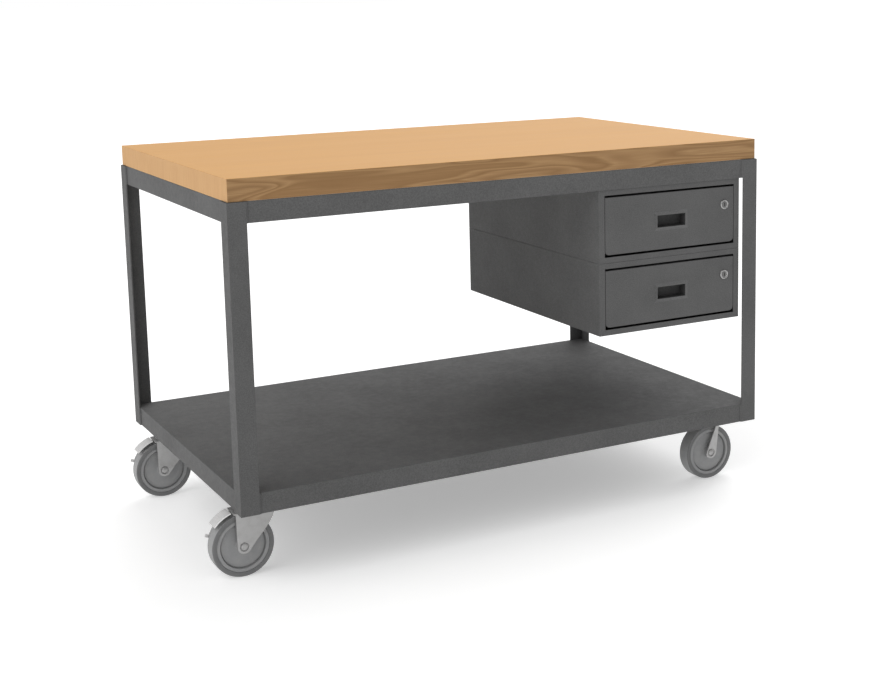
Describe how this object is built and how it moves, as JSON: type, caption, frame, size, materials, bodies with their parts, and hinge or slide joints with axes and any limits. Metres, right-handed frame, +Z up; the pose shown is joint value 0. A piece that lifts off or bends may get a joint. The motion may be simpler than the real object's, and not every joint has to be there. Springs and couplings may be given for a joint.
{
  "type": "mobile workbench with drawers",
  "caption": "Mobile workbench: wood worktop on a welded angle-iron frame with a bottom shelf, stacked lockable drawers at one end, rigid casters and braked swivel casters.",
  "frame": {"origin": "on the floor, under the centre of the whole object including the casters that stand out past the left end", "axes": "+X along the length towards the drawer end, +Y to the back, +Z up; the drawers open towards -Y"},
  "size_m": [1.2576, 0.762, 0.7987],
  "materials": {
    "maple_top": "clear-finished hardwood, light tan with long grain on the edges",
    "powder_coat": "charcoal grey powder coat, fine speckle, satin",
    "caster_steel": "zinc-plated pressed steel, dull",
    "pedal_steel": "bright plated steel",
    "slide_steel": "cold-rolled steel, lightly oiled",
    "lock_metal": "bright nickel",
    "caster_tread": "grey polyurethane, satin",
    "caster_core": "grey moulded polyolefin"
  },
  "bodies": {
    "frame": {"worktop": "maple_top", "leg_front_left": "powder_coat", "leg_front_right": "powder_coat", "leg_rear_left": "powder_coat", "leg_rear_right": "powder_coat", "rail_front": "powder_coat", "rail_rear": "powder_coat", "rail_left": "powder_coat", "rail_right": "powder_coat", "bottom_shelf": "powder_coat", "caster_channel_left": "powder_coat", "caster_channel_right": "powder_coat", "drawer_hanger_left": "powder_coat", "drawer_hanger_right": "powder_coat", "drawer_housing_upper": "powder_coat", "slide_fixed_upper_left": "slide_steel", "slide_fixed_upper_right": "slide_steel", "drawer_housing_lower": "powder_coat", "slide_fixed_lower_left": "slide_steel", "slide_fixed_lower_right": "slide_steel", "swivel_plate_front_left": "caster_steel", "rigid_fork_front_right": "caster_steel", "axle_front_right": "caster_steel", "swivel_plate_rear_left": "caster_steel", "rigid_fork_rear_right": "caster_steel", "axle_rear_right": "caster_steel"},
    "drawer_upper": {"drawer_box_upper": "powder_coat", "drawer_front_upper": "powder_coat", "lock_barrel_upper": "lock_metal", "slide_runner_upper_left": "slide_steel", "slide_runner_upper_right": "slide_steel"},
    "slides_upper": {"slide_middle_upper_left": "slide_steel", "slide_middle_upper_right": "slide_steel"},
    "lock_upper": {"lock_plug_upper": "lock_metal", "lock_cam_upper": "slide_steel"},
    "drawer_lower": {"drawer_box_lower": "powder_coat", "drawer_front_lower": "powder_coat", "lock_barrel_lower": "lock_metal", "slide_runner_lower_left": "slide_steel", "slide_runner_lower_right": "slide_steel"},
    "slides_lower": {"slide_middle_lower_left": "slide_steel", "slide_middle_lower_right": "slide_steel"},
    "lock_lower": {"lock_plug_lower": "lock_metal", "lock_cam_lower": "slide_steel"},
    "caster_front_left": {"swivel_fork_front_left": "caster_steel", "axle_front_left": "caster_steel"},
    "brake_front_left": {"brake_pedal_front_left": "pedal_steel"},
    "caster_rear_left": {"swivel_fork_rear_left": "caster_steel", "axle_rear_left": "caster_steel"},
    "brake_rear_left": {"brake_pedal_rear_left": "pedal_steel"},
    "wheel_front_left": {"wheel_core_front_left": "caster_core", "wheel_tread_front_left": "caster_tread"},
    "wheel_front_right": {"wheel_core_front_right": "caster_core", "wheel_tread_front_right": "caster_tread"},
    "wheel_rear_left": {"wheel_core_rear_left": "caster_core", "wheel_tread_rear_left": "caster_tread"},
    "wheel_rear_right": {"wheel_core_rear_right": "caster_core", "wheel_tread_rear_right": "caster_tread"}
  },
  "joints": [
    {"name": "drawer_upper_slide", "type": "slide", "parent": "frame", "child": "drawer_upper", "axis": [0, -1, 0], "range_m": [0, 0.45]},
    {"name": "slides_upper_slide", "type": "slide", "parent": "frame", "child": "slides_upper", "axis": [0, -1, 0], "range_m": [0, 0.225]},
    {"name": "lock_upper_turn", "type": "hinge", "parent": "drawer_upper", "child": "lock_upper", "pos_m": [0.54376, -0.3742, 0.6574], "axis": [0, 1, 0], "range_deg": [0, 90]},
    {"name": "drawer_lower_slide", "type": "slide", "parent": "frame", "child": "drawer_lower", "axis": [0, -1, 0], "range_m": [0, 0.45]},
    {"name": "slides_lower_slide", "type": "slide", "parent": "frame", "child": "slides_lower", "axis": [0, -1, 0], "range_m": [0, 0.225]},
    {"name": "lock_lower_turn", "type": "hinge", "parent": "drawer_lower", "child": "lock_lower", "pos_m": [0.54376, -0.3742, 0.4998], "axis": [0, 1, 0], "range_deg": [0, 90]},
    {"name": "caster_front_left_swivel", "type": "hinge", "parent": "frame", "child": "caster_front_left", "pos_m": [-0.52524, -0.2794, 0], "axis": [0, 0, 1], "continuous": true},
    {"name": "wheel_front_left_spin", "type": "hinge", "parent": "caster_front_left", "child": "wheel_front_left", "pos_m": [-0.56134, -0.2794, 0.0635], "axis": [0, 1, 0], "continuous": true},
    {"name": "brake_front_left_press", "type": "hinge", "parent": "caster_front_left", "child": "brake_front_left", "pos_m": [-0.56934, -0.2794, 0.1215], "axis": [0, -1, 0], "range_deg": [0, 8]},
    {"name": "wheel_front_right_spin", "type": "hinge", "parent": "frame", "child": "wheel_front_right", "pos_m": [0.56356, -0.2794, 0.0635], "axis": [0, 1, 0], "continuous": true},
    {"name": "caster_rear_left_swivel", "type": "hinge", "parent": "frame", "child": "caster_rear_left", "pos_m": [-0.52524, 0.2794, 0], "axis": [0, 0, 1], "continuous": true},
    {"name": "wheel_rear_left_spin", "type": "hinge", "parent": "caster_rear_left", "child": "wheel_rear_left", "pos_m": [-0.56134, 0.2794, 0.0635], "axis": [0, 1, 0], "continuous": true},
    {"name": "brake_rear_left_press", "type": "hinge", "parent": "caster_rear_left", "child": "brake_rear_left", "pos_m": [-0.56934, 0.2794, 0.1215], "axis": [0, -1, 0], "range_deg": [0, 8]},
    {"name": "wheel_rear_right_spin", "type": "hinge", "parent": "frame", "child": "wheel_rear_right", "pos_m": [0.56356, 0.2794, 0.0635], "axis": [0, 1, 0], "continuous": true}
  ],
  "couplings": [
    {"joint": "slides_upper_slide", "follows": "drawer_upper_slide", "ratio": 0.5},
    {"joint": "slides_lower_slide", "follows": "drawer_lower_slide", "ratio": 0.5}
  ]
}
